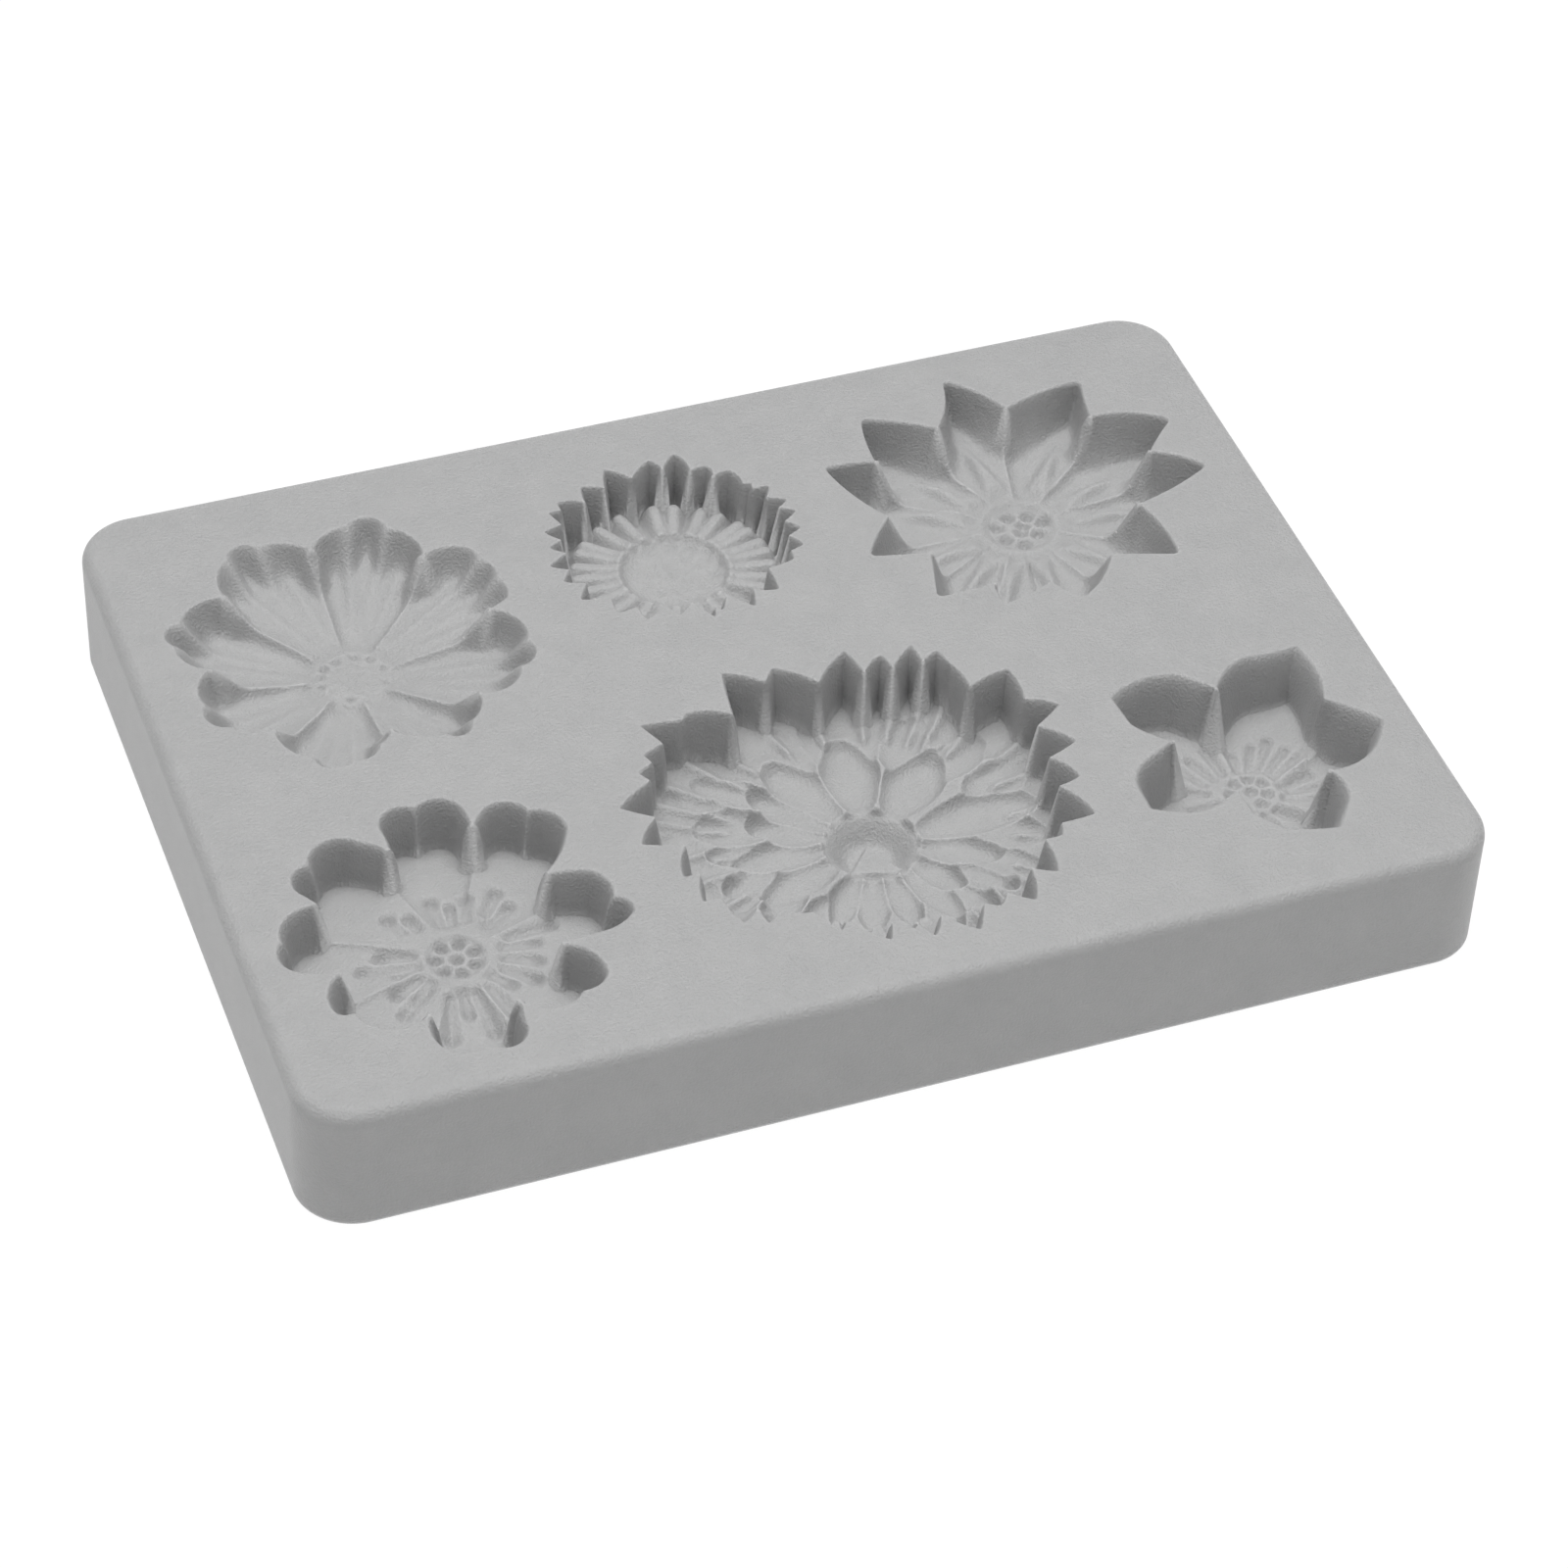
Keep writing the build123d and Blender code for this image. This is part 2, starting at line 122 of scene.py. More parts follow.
# Many pointed petals in layers; the outermost tips make the rim.
DAHLIA_MIDDLE = (3.0, -16.5)
DAHLIA_CENTRE = (1.1, -0.3)
DAHLIA_RIM = [
    (20.8, 0.5, 0.3), (18.1, 3.4, 0.1), (21.2, 5.5, 0.3), (18.4, 7.0, 0.3), (18.5, 11.4, 0.3),
    (14.3, 10.1, 0.3), (13.6, 13.9, 0.1), (13.2, 15.7, 0.2), (11.4, 14.5, 0.1),
    (11.2, 17.1, 0.2), (8.5, 14.6, 0.1), (8.1, 16.7, 0.3), (5.8, 14.8, 0.1), (5.1, 18.2, 0.3),
    (1.4, 14.9, 0.3), (-2.0, 18.0, 0.1), (-3.2, 16.4, 0.3), (-6.65, 18.8, 0.1),
    (-7.5, 13.2, 0.5), (-11.4, 14.6, 0.1), (-12.0, 13.9, 0.1), (-16.0, 14.4, 0.0),
    (-14.7, 11.5, 0.1), (-16.9, 10.6, 0.0), (-16.4, 9.4, 0.1), (-18.1, 8.5, 0.0),
    (-17.3, 7.3, 0.2), (-21.1, 4.8, 0.1), (-18.3, 2.7, 0.3), (-20.7, -0.2, 0.1),
    (-16.9, -1.4, 0.4), (-18.5, -5.2, 0.0), (-16.9, -5.2, 0.2), (-17.9, -8.6, 0.0),
    (-16.2, -8.6, 0.2), (-15.4, -12.1, 0.1), (-13.5, -10.9, 0.1), (-13.3, -12.9, 0.1),
    (-12.1, -11.8, 0.2), (-9.1, -12.7, 0.2), (-7.6, -15.6, 0.1), (-6.9, -14.5, 0.2),
    (-3.9, -18.0, 0.1), (-3.2, -15.9, 0.2), (-1.4, -17.3, 0.1), (-1.1, -16.5, 0.1),
    (-0.1, -18.7, 0.2), (1.2, -16.4, 0.2), (3.9, -19.2, 0.1), (5.3, -16.2, 0.1),
    (6.7, -17.0, 0.1), (7.7, -15.6, 0.1), (9.8, -17.3, 0.3), (10.8, -13.4, 0.1),
    (13.0, -14.6, 0.3), (13.3, -10.4, 0.1), (15.1, -10.4, 0.1), (15.5, -8.95, 0.1),
    (18.9, -8.8, 0.4), (17.0, -4.5, 0.1), (19.4, -3.9, 0.4), (17.6, -0.8, 0.1),
]

# Five broad petals, each drawn to one corner.
BLOSSOM_MIDDLE = (39.2, -21.5)
BLOSSOM_CENTRE = (0.4, 0.7)
BLOSSOM_RIM = [
    (12.3, -0.4, 0.3), (8.1, 3.7, 0.2), (9.3, 7.0, 0.2), (8.8, 11.2, -0.2), (4.2, 11.2, 0.9),
    (-0.5, 7.6, 0.3), (-3.4, 11.0, 0.85), (-10.2, 9.9, 0.0), (-9.9, 6.2, 0.35),
    (-6.7, 2.7, 0.15), (-10.4, 1.15, 0.65), (-12.4, -2.6, 0.0), (-12.45, -4.7, 0.1),
    (-9.9, -6.0, 0.35), (-6.6, -6.2, 0.0), (-4.0, -4.8, 0.0), (-3.9, -8.0, 0.2),
    (-1.6, -11.0, 0.1), (2.8, -12.1, 0.0), (5.0, -9.2, 0.7), (4.6, -4.9, 0.65),
    (9.8, -3.8, 0.25),
]


# ---------------------------------------------------------------- shapes of curves and profiles

def smoothstep(value):
    """0 below 0, 1 above 1, and a soft S between."""
    t = np.clip(value, 0.0, 1.0)
    return t * t * (3.0 - 2.0 * t)


def bump(distance, width):
    """1 on a line and fading to 0 a couple of widths away."""
    return np.exp(-(distance / width) ** 2)


def turned(angle, zero):
    """Angle from zero, in degrees, between -180 and 180."""
    return (angle - zero + 180.0) % 360.0 - 180.0


def along_and_across(x, y, start, end):
    """Share of the way along a segment, and the distance from it, signed to its left."""
    dx, dy = end[0] - start[0], end[1] - start[1]
    length = math.hypot(dx, dy)
    along = ((x - start[0]) * dx + (y - start[1]) * dy) / length ** 2
    across = ((y - start[1]) * dx - (x - start[0]) * dy) / length
    return along, across


def segment_distance(x, y, start, end):
    """Distance from a segment with round ends."""
    along, _ = along_and_across(x, y, start, end)
    t = np.clip(along, 0.0, 1.0)
    return np.hypot(x - start[0] - t * (end[0] - start[0]), y - start[1] - t * (end[1] - start[1]))


def point_at(angle, radius):
    """Point at an angle in degrees and a radius about the origin."""
    return radius * math.cos(math.radians(angle)), radius * math.sin(math.radians(angle))


def patchy(x, y, grain, seed):
    """Soft random unevenness between -1 and 1, with patches about one grain across."""
    size = 64
    table = np.random.default_rng(seed).uniform(-1.0, 1.0, (size, size))
    u, v = x / grain, y / grain
    i, j = np.floor(u).astype(int), np.floor(v).astype(int)
    s, t = smoothstep(u - i), smoothstep(v - j)
    near = table[i % size, j % size] * (1 - s) + table[(i + 1) % size, j % size] * s
    far = table[i % size, (j + 1) % size] * (1 - s) + table[(i + 1) % size, (j + 1) % size] * s
    return near * (1 - t) + far * t


def groove(x, y, start, end, width, depth):
    """Round-bottomed groove with round ends; adds this much to the depth."""
    return depth * bump(segment_distance(x, y, start, end), 0.5 * width)


def soft_pits(x, y, places, width, depth):
    """Round-bottomed dents at a list of places."""
    total = np.zeros_like(x)
    for px, py in places:
        total = np.maximum(total, depth * bump(np.hypot(x - px, y - py), width))
    return total


# Where petals overlap: the share of the height that stands up as a crest, how far the crest and the
# sunken side spread, the height at the inner end as a share of the full height, the lengths over
# which the overlap starts and grows, and the angles on either side of it over which it fades away.
CREST_SHARE = 0.35
CREST_SPREAD = 1.3
LAP_SPREAD = 3.2
LAP_INNER_SHARE = 0.65
LAP_START = 1.6
LAP_GROWTH = 6.0
LAP_ANGLE = 75.0
LAP_ANGLE_FADE = 25.0


def petal_step(x, y, angle, over, height, fade, inner):
    """Where one petal lies over the next, along a ray from the middle at that angle.

    over is 1 where the petal on the counter-clockwise side is the deeper one, and -1 where the
    other one is. The floor drops from a crisp crest on the ray and flattens out over the fade.
    """
    ux, uy = point_at(angle, 1.0)
    forward = x * ux + y * uy
    side = over * (y * ux - x * uy)
    grown = LAP_INNER_SHARE + (1.0 - LAP_INNER_SHARE) * smoothstep((forward - inner) / LAP_GROWTH)
    crest = -CREST_SHARE * height
    lap = np.maximum(side, 0.0)
    raised = crest * np.exp(np.minimum(side, 0.0) / CREST_SPREAD)
    sunk = (crest + height * (1.0 - np.exp(-lap / fade))) * np.exp(-lap / LAP_SPREAD)
    shape = np.where(side < 0.0, raised, sunk)
    return shape * grown * smoothstep((forward - inner) / LAP_START)


def petal_steps(x, y, steps, inner):
    """All the overlaps of a flower: (angle, over, height, fade) for each."""
    angle = np.degrees(np.arctan2(y, x))
    total = np.zeros_like(x)
    for bearing, over, height, fade in steps:
        facing = smoothstep((LAP_ANGLE - np.abs(turned(angle, bearing))) / LAP_ANGLE_FADE)
        total = total + facing * petal_step(x, y, bearing, over, height, fade, inner)
    return total


def streaks(x, y, middles, lines, start, width):
    """Soft raised lines along each petal: (degrees from its middle, height) for each line."""
    total = np.zeros_like(x)
    for middle in middles:
        for beside, height in lines:
            ux, uy = point_at(middle + beside, 1.0)
            ahead = smoothstep((x * ux + y * uy - start) / 4.0)
            total = total + height * bump(y * ux - x * uy, width) * ahead
    return total


def headings(rim):
    """Directions in which the rim's edges leave and reach each of its points, in radians."""
    leaving, reaching = [], []
    for (x0, y0, rise), (x1, y1, _) in zip(rim, rim[1:] + rim[:1]):
        chord = math.atan2(y1 - y0, x1 - x0)
        swing = 2.0 * math.atan2(rise, 0.5 * math.hypot(x1 - x0, y1 - y0))
        leaving.append(chord - swing)
        reaching.append(chord + swing)
    return leaving, reaching[-1:] + reaching[:-1]


SHARP_TURN = 0.35  # radians


def corners(rim, inward):
    """Points of a rim where it turns sharply inward, or else sharply outward."""
    sign = -1.0 if inward else 1.0
    found = []
    for (x, y, _), leave, reach in zip(rim, *headings(rim)):
        turn = (leave - reach + math.pi) % (2.0 * math.pi) - math.pi
        if sign * turn > SHARP_TURN:
            found.append((x, y))
    return found


def ridges_to(x, y, points, inner, width, height):
    """Rounded ridges from a ring of that radius out to each point, widening outward."""
    total = np.zeros_like(x)
    for px, py in points:
        reach = math.hypot(px, py)
        start = (px * inner / reach, py * inner / reach)
        along, across = along_and_across(x, y, start, (px, py))
        spread = width * (0.55 + 0.6 * np.clip(along, 0.0, 1.3))
        line = bump(across, spread) * smoothstep((along + 0.12) / 0.3)
        total = np.maximum(total, height * line)
    return total


def about(x, y, centre):
    """Coordinates measured from a flower's centre."""
    return x - centre[0], y - centre[1]


def with_disc(r, disc, petals, radius, edge):
    """Depth of the disc up to its radius, blended over its edge into that of the petals."""
    beyond = smoothstep((r - radius) / edge)
    return disc * (1 - beyond) + petals * beyond


# ---------------------------------------------------------------- depth of each flower's floor

# Overlaps of the petals: (angle, which side is deeper, height, width over which it flattens out).
COSMOS_STEPS = [(0.6, -1, 1.2, 0.8), (42.5, 1, 1.7, 0.9), (89.0, -1, 1.6, 0.9),
                (134.7, 1, 2.2, 1.1), (180.0, 1, 2.1, 1.1), (225.0, 1, 2.3, 1.1),
                (271.4, -1, 1.7, 1.0), (312.0, -1, 2.0, 1.0)]
HEART_STEPS = [(65.0, 1, 0.7, 0.5), (104.7, -1, 0.5, 0.4), (20.0, 1, 0.5, 0.4),
               (-32.5, -1, 0.3, 0.6), (-75.7, -1, 0.9, 1.0), (-117.0, 1, 0.9, 1.1),
               (-166.3, 1, 0.8, 0.9), (150.9, 1, 0.5, 0.4)]
LOTUS_STEPS = [(77.5, -1, 1.3, 0.7), (39.0, -1, 1.3, 0.7), (6.0, -1, 1.2, 0.7),
               (-30.0, -1, 0.8, 0.5), (-70.0, -1, 0.7, 0.45), (-101.0, -1, 0.5, 0.4),
               (-123.0, 1, 0.7, 0.5), (-153.0, 1, 0.7, 0.5), (180.0, 1, 0.6, 0.45),
               (148.0, 1, 0.9, 0.6), (114.0, 1, 1.3, 0.7)]
BLOSSOM_STEPS = [(97.0, -1, 0.9, 0.6), (18.0, -1, 1.1, 0.7), (158.0, 1, 0.4, 0.5),
                 (-130.0, 1, 0.6, 0.5), (-45.0, -1, 0.5, 0.5)]

COSMOS_PETALS = (67.0, 22.0, -23.0, -68.0, -112.0, -158.0, 157.0, 112.0)
# Raised lines along each petal: (degrees from its middle, height).
COSMOS_LINES = ((-12.0, 0.3), (-3.0, 0.22), (7.0, 0.3))
COSMOS_EDGE_PITS = [
    point_at(5.0, 3.1), point_at(39.0, 2.9), point_at(70.0, 2.6), point_at(112.0, 2.5),
    point_at(141.0, 2.9), point_at(165.0, 3.1), point_at(189.0, 3.2), point_at(332.0, 3.2),
    point_at(250.0, 3.2),
]


def cosmos_floor(x, y):
    """Broad petals with soft raised lines, round a crumbly disc with pits along its edge."""
    x, y = about(x, y, COSMOS_CENTRE)
    r = np.hypot(x, y)
    petals = 4.6 - 0.15 * np.maximum(r - 4.0, 0.0) + petal_steps(x, y, COSMOS_STEPS, inner=3.0)
    petals = petals - streaks(x, y, COSMOS_PETALS, COSMOS_LINES, start=3.4, width=0.65)
    disc = 4.4 + 0.09 * patchy(x, y, grain=0.75, seed=3) + 0.04 * patchy(x, y, grain=0.4, seed=4)
    disc = disc + soft_pits(x, y, COSMOS_EDGE_PITS, width=0.42, depth=0.4)
    return with_disc(r, disc, petals, radius=3.0, edge=1.0)


# Ray petals of the sunflower: raised pads that run between two radii toward the rim's tips.
PAD_INNER = 5.6
PAD_OUTER = 9.2


def sunflower_floor(x, y):
    """A ring of raised pads round a rough disc."""
    x, y = about(x, y, SUNFLOWER_CENTRE)
    r = np.hypot(x, y)
    pads = np.zeros_like(x)
    outer = smoothstep((r - PAD_INNER) / (PAD_OUTER - PAD_INNER))
    for px, py in corners(SUNFLOWER_RIM, inward=False):
        bearing = math.degrees(math.atan2(py - SUNFLOWER_CENTRE[1], px - SUNFLOWER_CENTRE[0]))
        gap = segment_distance(x, y, point_at(bearing, PAD_INNER), point_at(bearing, PAD_OUTER))
        pads = np.maximum(pads, np.exp(-(gap / (0.85 + 0.2 * outer)) ** 3))
    petals = 4.9 + 0.8 * outer - (0.8 + 0.9 * outer) * pads
    disc = 4.8 + 0.13 * patchy(x, y, grain=0.9, seed=7) + 0.04 * patchy(x, y, grain=0.45, seed=8)
    rim_ring = 0.35 * bump(r - 5.0, 0.7)
    return with_disc(r, disc, petals, radius=4.4, edge=1.0) - rim_ring


LOTUS_PETALS = (95.0, 51.0, 18.0, -6.6, -52.0, -92.0, -118.0, -138.0, -165.0, 154.0, 128.6)
LOTUS_SEEDS = [
    (-1.9, 0.9), (-0.4, 1.9), (1.4, 1.5), (2.5, 0.4), (0.1, -0.4), (1.5, -1.1), (-0.3, -2.2),
    (-1.7, -1.0), (0.6, 0.5),
]
# Ribs of each lotus petal: they start side by side, that many degrees apart, and meet at the tip.
RIB_OFFSETS = (-11.0, 0.0, 11.0)
RIB_INNER = 4.2
RIB_OUTER = 13.0


def lotus_floor(x, y):
    """Ribbed pointed petals round a disc of seed pits."""
    x, y = about(x, y, LOTUS_CENTRE)
    r = np.hypot(x, y)
    petals = 4.8 + petal_steps(x, y, LOTUS_STEPS, inner=3.2)
    for middle in LOTUS_PETALS:
        tip = point_at(middle, RIB_OUTER)
        for offset in RIB_OFFSETS:
            along, across = along_and_across(x, y, point_at(middle + offset, RIB_INNER), tip)
            fading = smoothstep(along / 0.2) * smoothstep((1.0 - along) / 0.6)
            petals = petals - 0.45 * bump(across, 0.5) * fading
    disc = 5.1 + 0.03 * patchy(x, y, grain=0.6, seed=11)
    disc = disc + soft_pits(x, y, LOTUS_SEEDS, width=0.62, depth=0.8)
    return with_disc(r, disc, petals, radius=2.9, edge=0.9)


# Stamens of the heart-petalled flower: (inner end, outer end) for each, about its centre.
STAMENS = [
    ((-3.4, 4.6), (-4.3, 6.4)), ((-2.2, 4.6), (-2.6, 5.8)), ((0.1, 4.4), (0.0, 7.6)),
    ((1.0, 4.4), (1.4, 6.4)), ((2.1, 4.2), (3.0, 6.9)), ((3.9, 3.1), (6.3, 5.0)),
    ((4.2, 4.5), (5.7, 6.9)), ((5.2, 1.0), (9.2, 1.6)), ((4.4, 0.0), (7.2, -0.1)),
    ((4.2, -1.4), (6.8, -2.3)), ((3.7, -2.5), (6.0, -4.4)), ((2.4, -2.9), (3.7, -4.4)),
    ((1.8, -4.4), (2.9, -7.8)), ((0.5, -4.5), (0.8, -9.0)), ((-0.5, -4.2), (-0.7, -6.4)),
    ((-2.0, -4.6), (-3.0, -8.7)), ((-3.4, -2.9), (-6.1, -4.9)), ((-3.0, -2.2), (-4.5, -3.4)),
    ((-3.8, -1.5), (-6.1, -2.5)), ((-3.6, 0.0), (-5.3, -0.3)), ((-4.2, 0.3), (-8.2, 1.2)),
    ((-3.7, 1.4), (-6.3, 2.2)),
]
HEART_SEEDS = [point_at(14.0 + 51.4 * seed, 1.75) for seed in range(7)] + [(0.1, -0.1)]


def heart_floor(x, y):
    """Smooth petals with stamens sunk into them, round a cluster of seed pits."""
    x, y = about(x, y, HEART_CENTRE)
    r = np.hypot(x, y)
    petals = 4.1 + 0.9 * (r / 13.0) ** 2 + petal_steps(x, y, HEART_STEPS, inner=3.0)
    depth = petals
    for start, end in STAMENS:
        depth = np.maximum(depth, petals + groove(x, y, start, end, width=1.25, depth=0.5))
    depth = depth + soft_pits(x, y, [end for _, end in STAMENS], width=0.6, depth=0.3)
    depth = depth + 0.25 * smoothstep((3.0 - r) / 0.8)
    return depth + soft_pits(x, y, HEART_SEEDS, width=0.52, depth=0.8)


# Petal scales of the dahlia: their outline's exponent (2 is an ellipse and 1 a diamond), how much
# deeper the tip is than the base, and how fast the surface climbs outside the outline.
SCALE_EXPONENT = 1.7
SCALE_DROP = 1.5
SCALE_EDGE = 0.42


def scale(x, y, bearing, tip, length, width):
    """Dish of one pointed petal scale: deepest near its tip, and up steeply outside its outline."""
    start, end = point_at(bearing, tip - length), point_at(bearing, tip)
    along, across = along_and_across(x, y, start, end)
    beside = (np.abs(across) / (0.5 * width)) ** SCALE_EXPONENT
    share = beside + np.abs(2.0 * along - 1.0) ** SCALE_EXPONENT
    return SCALE_DROP * np.clip(along, 0.0, 1.0) ** 2 - SCALE_EDGE * share ** 3.0


# Petals of the dahlia by layer: (bearing, radius of the tip, length, width) for each.
INNER_SCALES = [(83.0, 12.8, 8.5, 4.6), (43.0, 12.2, 8.0, 4.6), (1.0, 15.4, 10.6, 4.2),
                (-24.0, 11.2, 6.8, 3.3), (-50.0, 9.2, 5.0, 2.8), (-67.0, 11.3, 6.8, 3.0),
                (-88.0, 10.2, 5.8, 2.8), (-109.0, 10.3, 6.0, 3.2), (-127.0, 10.4, 6.0, 2.6),
                (-160.0, 11.8, 7.4, 3.6), (175.0, 12.6, 8.0, 3.2), (151.0, 10.8, 6.4, 3.2),
                (133.0, 11.8, 7.4, 3.2), (115.0, 12.8, 8.3, 4.4)]
OUTER_SCALES = [(57.0, 16.3, 6.8, 4.6), (34.0, 16.9, 7.0, 4.2), (15.0, 18.4, 7.6, 4.2),
                (-14.5, 15.8, 6.6, 3.4), (-31.0, 15.4, 6.4, 3.4), (-43.0, 13.6, 5.6, 2.8),
                (-58.0, 13.6, 5.2, 2.6), (-76.0, 13.4, 5.0, 2.8), (-98.0, 13.0, 5.0, 2.8),
                (-117.0, 12.8, 4.8, 2.6), (-135.0, 13.4, 5.0, 2.6), (-151.0, 14.2, 4.8, 2.8),
                (189.5, 14.6, 5.0, 3.2), (171.5, 14.6, 5.2, 3.0), (157.0, 15.8, 6.4, 4.2),
                (137.5, 17.4, 7.2, 3.4), (121.0, 17.4, 6.8, 3.6), (103.0, 16.6, 6.6, 4.0),
                (92.0, 16.4, 6.4, 3.4), (73.0, 16.8, 6.8, 4.0)]
RIM_SCALES = [(46.0, 19.4, 6.6, 3.8), (25.0, 20.4, 6.0, 3.6), (3.0, 20.0, 6.0, 3.6),
              (147.0, 19.2, 5.6, 3.4), (164.0, 19.2, 6.4, 3.4), (181.0, 19.2, 6.6, 3.2),
              (196.0, 17.4, 5.4, 3.0), (-24.0, 18.2, 5.6, 3.2), (-37.0, 17.6, 5.4, 2.8)]

BUD_RADIUS = 4.1
BUD_RIM_RADIUS = 4.2
BUD_TRIANGLE_DEPTH = 7.6
BUD_TRIANGLE = [(0.2, 1.5), (-2.9, -2.0), (2.3, -3.3)]


def dahlia_bud(x, y, r):
    """A shallow bowl with a flat triangle standing in it and a thin rim."""
    triangle = np.full_like(x, 9.0)
    for start, end in zip(BUD_TRIANGLE, BUD_TRIANGLE[1:] + BUD_TRIANGLE[:1]):
        triangle = np.minimum(triangle, along_and_across(x, y, start, end)[1])
    bowl = 7.1 + 1.7 * smoothstep((BUD_RADIUS - r) / 2.2)
    bowl = bowl + 0.05 * patchy(x, y, grain=1.0, seed=21)
    raised = smoothstep((triangle + 0.3) / 0.6)
    return bowl * (1 - raised) + BUD_TRIANGLE_DEPTH * raised - 0.2 * bump(r - BUD_RIM_RADIUS, 0.35)


def dahlia_floor(x, y):
    """Layers of dished scales round a bud, with ridges that run out to the rim's notches."""
    x, y = about(x, y, DAHLIA_CENTRE)
    r = np.hypot(x, y)
    rays = [about(px, py, DAHLIA_CENTRE) for px, py in corners(DAHLIA_RIM, inward=True)]
    dish = 1.7 * smoothstep((np.hypot(x, 1.15 * y) - 13.0) / 4.0) - 1.0
    for bearing, tip, length, width in INNER_SCALES + OUTER_SCALES + RIM_SCALES:
        dish = np.maximum(dish, scale(x, y, bearing, tip, length, width))
    petals = 7.2 - 0.15 * (r - BUD_RIM_RADIUS) + dish
    petals = petals - ridges_to(x, y, rays, inner=12.8, width=0.6, height=0.6)
    return with_disc(r, dahlia_bud(x, y, r), petals, radius=BUD_RADIUS, edge=0.5)


# Grooves round the hub of the blossom: (inner end, outer end) for each, about its centre.
BLOSSOM_GROOVES = [
    ((-1.5, 3.2), (-2.0, 6.0)), ((0.9, 2.8), (2.4, 5.4)), ((1.8, 2.8), (4.0, 5.6)),
    ((0.0, 3.0), (0.2, 5.0)), ((2.6, 2.2), (5.0, 4.0)), ((2.9, 1.3), (6.6, 3.0)),
    ((2.6, 0.0), (6.0, 0.6)), ((3.6, -0.7), (6.6, -1.1)), ((2.8, -1.4), (5.4, -2.4)),
    ((0.1, -3.0), (0.6, -5.6)), ((-1.4, -2.8), (-2.4, -4.6)), ((-3.0, -1.6), (-5.0, -2.6)),
    ((-3.4, -0.4), (-6.0, -0.6)), ((-4.0, 1.2), (-6.4, 2.2)), ((-3.7, 2.3), (-5.2, 4.6)),
    ((-2.6, 2.8), (-3.8, 5.2)),
]
BLOSSOM_LONG_GROOVE = ((1.3, -2.6), (3.5, -5.2))
BLOSSOM_SEEDS = [
    (-1.9, 0.3), (-1.0, 1.5), (0.4, 1.7), (1.5, 0.9), (1.4, -0.6), (0.5, -1.7), (0.1, 0.1),
]


def blossom_floor(x, y):
    """Broad petals with short grooves, round a hub of seed pits."""
    x, y = about(x, y, BLOSSOM_CENTRE)
    r = np.hypot(x, y)
    petals = 6.8 - 0.008 * r ** 2 + petal_steps(x, y, BLOSSOM_STEPS, inner=2.6)
    for start, end in BLOSSOM_GROOVES:
        petals = petals + groove(x, y, start, end, width=1.0, depth=0.5)
    petals = petals + groove(x, y, *BLOSSOM_LONG_GROOVE, width=1.1, depth=0.7)
    hub = 6.6 + soft_pits(x, y, BLOSSOM_SEEDS, width=0.6, depth=0.7)
    return with_disc(r, hub, petals, radius=2.0, edge=1.2)


# softening is how far a rim's corners are rounded, and reach how far the wall comes in from the rim.
# lip and foot shape the wall's section: a lip of 1 is sharp and a larger one rounder; a foot of 1
# meets the floor at an angle, a larger one softly and a smaller one more upright.
# lean is how much further the wall comes in below the rim's inward corners, or less if negative, as
# a share of reach; lean_width is the width over which it does. pinch is the share of reach by which
# the wall comes in less, and so is steeper, at the rim's outward corners.
Flower = namedtuple("Flower", "middle rim floor softening reach lip foot lean lean_width pinch")
FLOWERS = [
    Flower(COSMOS_MIDDLE, COSMOS_RIM, cosmos_floor, softening=0.16, reach=2.2, lip=1.5, foot=3.0,
           lean=0.9, lean_width=0.9, pinch=0.0),
    Flower(SUNFLOWER_MIDDLE, SUNFLOWER_RIM, sunflower_floor, softening=0.14, reach=0.7, lip=2.0,
           foot=0.5, lean=-0.3, lean_width=0.4, pinch=0.0),
    Flower(LOTUS_MIDDLE, LOTUS_RIM, lotus_floor, softening=0.14, reach=2.8, lip=1.4, foot=2.8,
           lean=0.2, lean_width=0.5, pinch=0.6),
    Flower(HEART_MIDDLE, HEART_RIM, heart_floor, softening=0.22, reach=1.0, lip=2.0, foot=0.55,
           lean=0.25, lean_width=0.3, pinch=0.0),
    Flower(DAHLIA_MIDDLE, DAHLIA_RIM, dahlia_floor, softening=0.14, reach=0.8, lip=2.0, foot=0.5,
           lean=-0.4, lean_width=0.5, pinch=0.0),
    Flower(BLOSSOM_MIDDLE, BLOSSOM_RIM, blossom_floor, softening=0.18, reach=1.5, lip=2.0, foot=0.7,
           lean=-0.6, lean_width=1.3, pinch=0.0),
]

# Spacing of the mesh: along a rim, over a floor, round a fan below an inward corner, and the least
# gap between two points. WALL_ROWS are the rows of points down a wall, as shares of its reach, and
# ROWS_WITHIN is the furthest in from the rim that they go.
RIM_STEP = 0.11
FLOOR_STEP = 0.14
FAN_STEP = 0.08
LEAST_GAP = 0.03
ROW_TOLERANCE = 0.012
WALL_ROWS = (0.05, 0.11, 0.18, 0.26, 0.34, 0.42, 0.5, 0.58, 0.66, 0.74, 0.82, 0.89,
             0.94, 0.975, 1.0, 1.06, 1.15)
ROWS_WITHIN = 1.75

# The lip's rounding starts outside the drawn rim, by this share of the wall's reach.
LIP_OUTSET_SHARE = 0.14
PINCH_WIDTH_SHARE = 0.8


# ---------------------------------------------------------------- rims and the points inside them

